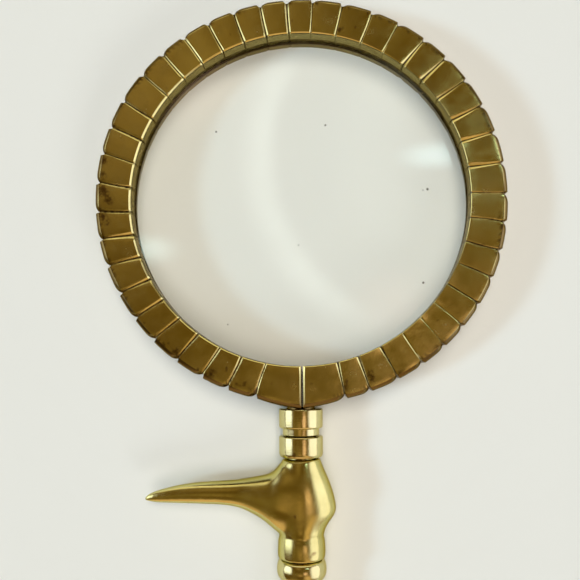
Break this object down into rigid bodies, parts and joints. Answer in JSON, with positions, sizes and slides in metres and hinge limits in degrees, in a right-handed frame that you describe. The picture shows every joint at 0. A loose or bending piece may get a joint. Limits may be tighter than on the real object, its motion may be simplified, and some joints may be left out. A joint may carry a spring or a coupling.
{
  "type": "hand lens",
  "caption": "Large brass hand lens: a biconvex glass lens in a fluted split ring, clamped by a collar on a turned handle with a long beaked casting.",
  "frame": {"origin": "middle of the object's footprint, on the surface it lies on", "axes": "+Z along the lens's optical axis, upwards as the lens lies flat; -Y down the handle to its pommel; -X towards the beak's tip"},
  "size_m": [0.1282, 0.2558, 0.015],
  "materials": {
    "aged_fluted_brass": "polished, with an olive-brown patina",
    "clear_lens_glass": "polished clear",
    "turned_collar_brass": "turned and polished",
    "cast_head_brass": "cast and polished",
    "rod_steel": "plain steel rod"
  },
  "bodies": {
    "framed_lens": {"lens_frame": "aged_fluted_brass", "lens": "clear_lens_glass"},
    "clamp": {"clamp_collar": "turned_collar_brass"},
    "handle": {"socket_collar": "turned_collar_brass", "beaked_head": "cast_head_brass", "neck_ring": "turned_collar_brass", "grip": "cast_head_brass", "end_ring": "turned_collar_brass", "pommel": "cast_head_brass", "tie_rod": "rod_steel"}
  },
  "joints": [
    {"name": "handle_turn", "type": "hinge", "parent": "framed_lens", "child": "clamp", "pos_m": [0, -0.0057, 0.0075], "axis": [0, -1, 0], "range_deg": [0, 1512]},
    {"name": "handle_unscrew", "type": "slide", "parent": "clamp", "child": "handle", "axis": [0, -1, 0], "range_m": [0, 0.0042]}
  ],
  "couplings": [
    {"joint": "handle_unscrew", "follows": "handle_turn", "m_per_rad": 0.00015915}
  ]
}
